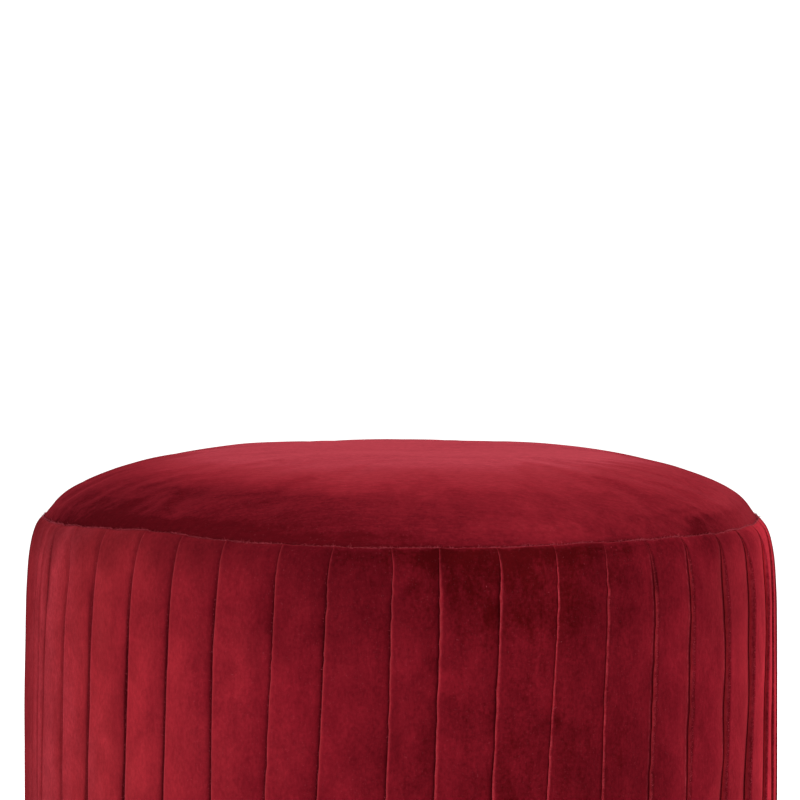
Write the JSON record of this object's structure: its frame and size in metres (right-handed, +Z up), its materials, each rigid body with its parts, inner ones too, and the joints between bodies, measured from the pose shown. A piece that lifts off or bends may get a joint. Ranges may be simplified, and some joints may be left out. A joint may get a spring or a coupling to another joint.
{
  "type": "drum stool",
  "caption": "Round drum-shaped velvet stool with a crowned seat, a knife-pleated side band and screw-in levelling glides.",
  "frame": {"origin": "centre of the circle the four glides stand on, at floor level", "axes": "+Z up through the middle of the seat; -Y is the front; the rear post and the shell's butt joint are at +Y"},
  "size_m": [0.3995, 0.3998, 0.45],
  "materials": {
    "velvet": "satin",
    "thread": "satin",
    "foam": "matte",
    "soft_foam": "matte",
    "wadding": "matte",
    "plywood": "matte",
    "pine": "matte",
    "bending_board": "matte",
    "lining": "matte",
    "felt": "matte",
    "glide_plastic": "satin",
    "zinc_steel": "satin"
  },
  "bodies": {
    "stool": {"seat_cover": "velvet", "side_cover": "velvet", "seam_thread": "thread", "side_foam": "foam", "seat_foam": "foam", "crown_foam": "soft_foam", "seat_wadding": "wadding", "base_board": "plywood", "seat_board": "plywood", "middle_hoop": "plywood", "side_shell": "bending_board", "dust_cover": "lining", "seat_board_screws": "zinc_steel", "base_board_screws": "zinc_steel", "hoop_screws": "zinc_steel", "shell_staples": "zinc_steel", "cover_staples": "zinc_steel", "dust_cover_staples": "zinc_steel", "tee_nuts": "zinc_steel", "upright_1": "pine", "upright_2": "pine", "upright_3": "pine", "upright_4": "pine", "upright_5": "pine", "upright_6": "pine"},
    "glide_1": {"glide_pad_1": "glide_plastic", "glide_felt_1": "felt"},
    "stud_1": {"glide_stud_1": "zinc_steel"},
    "glide_2": {"glide_pad_2": "glide_plastic", "glide_felt_2": "felt"},
    "stud_2": {"glide_stud_2": "zinc_steel"},
    "glide_3": {"glide_pad_3": "glide_plastic", "glide_felt_3": "felt"},
    "stud_3": {"glide_stud_3": "zinc_steel"},
    "glide_4": {"glide_pad_4": "glide_plastic", "glide_felt_4": "felt"},
    "stud_4": {"glide_stud_4": "zinc_steel"}
  },
  "joints": [
    {"name": "glide_1_travel", "type": "slide", "parent": "stool", "child": "glide_1", "axis": [0, 0, -1], "range_m": [0, 0.012]},
    {"name": "glide_1_turn", "type": "hinge", "parent": "glide_1", "child": "stud_1", "pos_m": [0.10607, 0.10607, 0], "axis": [0, 0, -1], "range_deg": [0, 3456]},
    {"name": "glide_2_travel", "type": "slide", "parent": "stool", "child": "glide_2", "axis": [0, 0, -1], "range_m": [0, 0.012]},
    {"name": "glide_2_turn", "type": "hinge", "parent": "glide_2", "child": "stud_2", "pos_m": [-0.10607, 0.10607, 0], "axis": [0, 0, -1], "range_deg": [0, 3456]},
    {"name": "glide_3_travel", "type": "slide", "parent": "stool", "child": "glide_3", "axis": [0, 0, -1], "range_m": [0, 0.012]},
    {"name": "glide_3_turn", "type": "hinge", "parent": "glide_3", "child": "stud_3", "pos_m": [-0.10607, -0.10607, 0], "axis": [0, 0, -1], "range_deg": [0, 3456]},
    {"name": "glide_4_travel", "type": "slide", "parent": "stool", "child": "glide_4", "axis": [0, 0, -1], "range_m": [0, 0.012]},
    {"name": "glide_4_turn", "type": "hinge", "parent": "glide_4", "child": "stud_4", "pos_m": [0.10607, -0.10607, 0], "axis": [0, 0, -1], "range_deg": [0, 3456]}
  ],
  "couplings": [
    {"joint": "glide_1_turn", "follows": "glide_1_travel", "rad_per_m": 5026.5},
    {"joint": "glide_2_turn", "follows": "glide_2_travel", "rad_per_m": 5026.5},
    {"joint": "glide_3_turn", "follows": "glide_3_travel", "rad_per_m": 5026.5},
    {"joint": "glide_4_turn", "follows": "glide_4_travel", "rad_per_m": 5026.5}
  ]
}
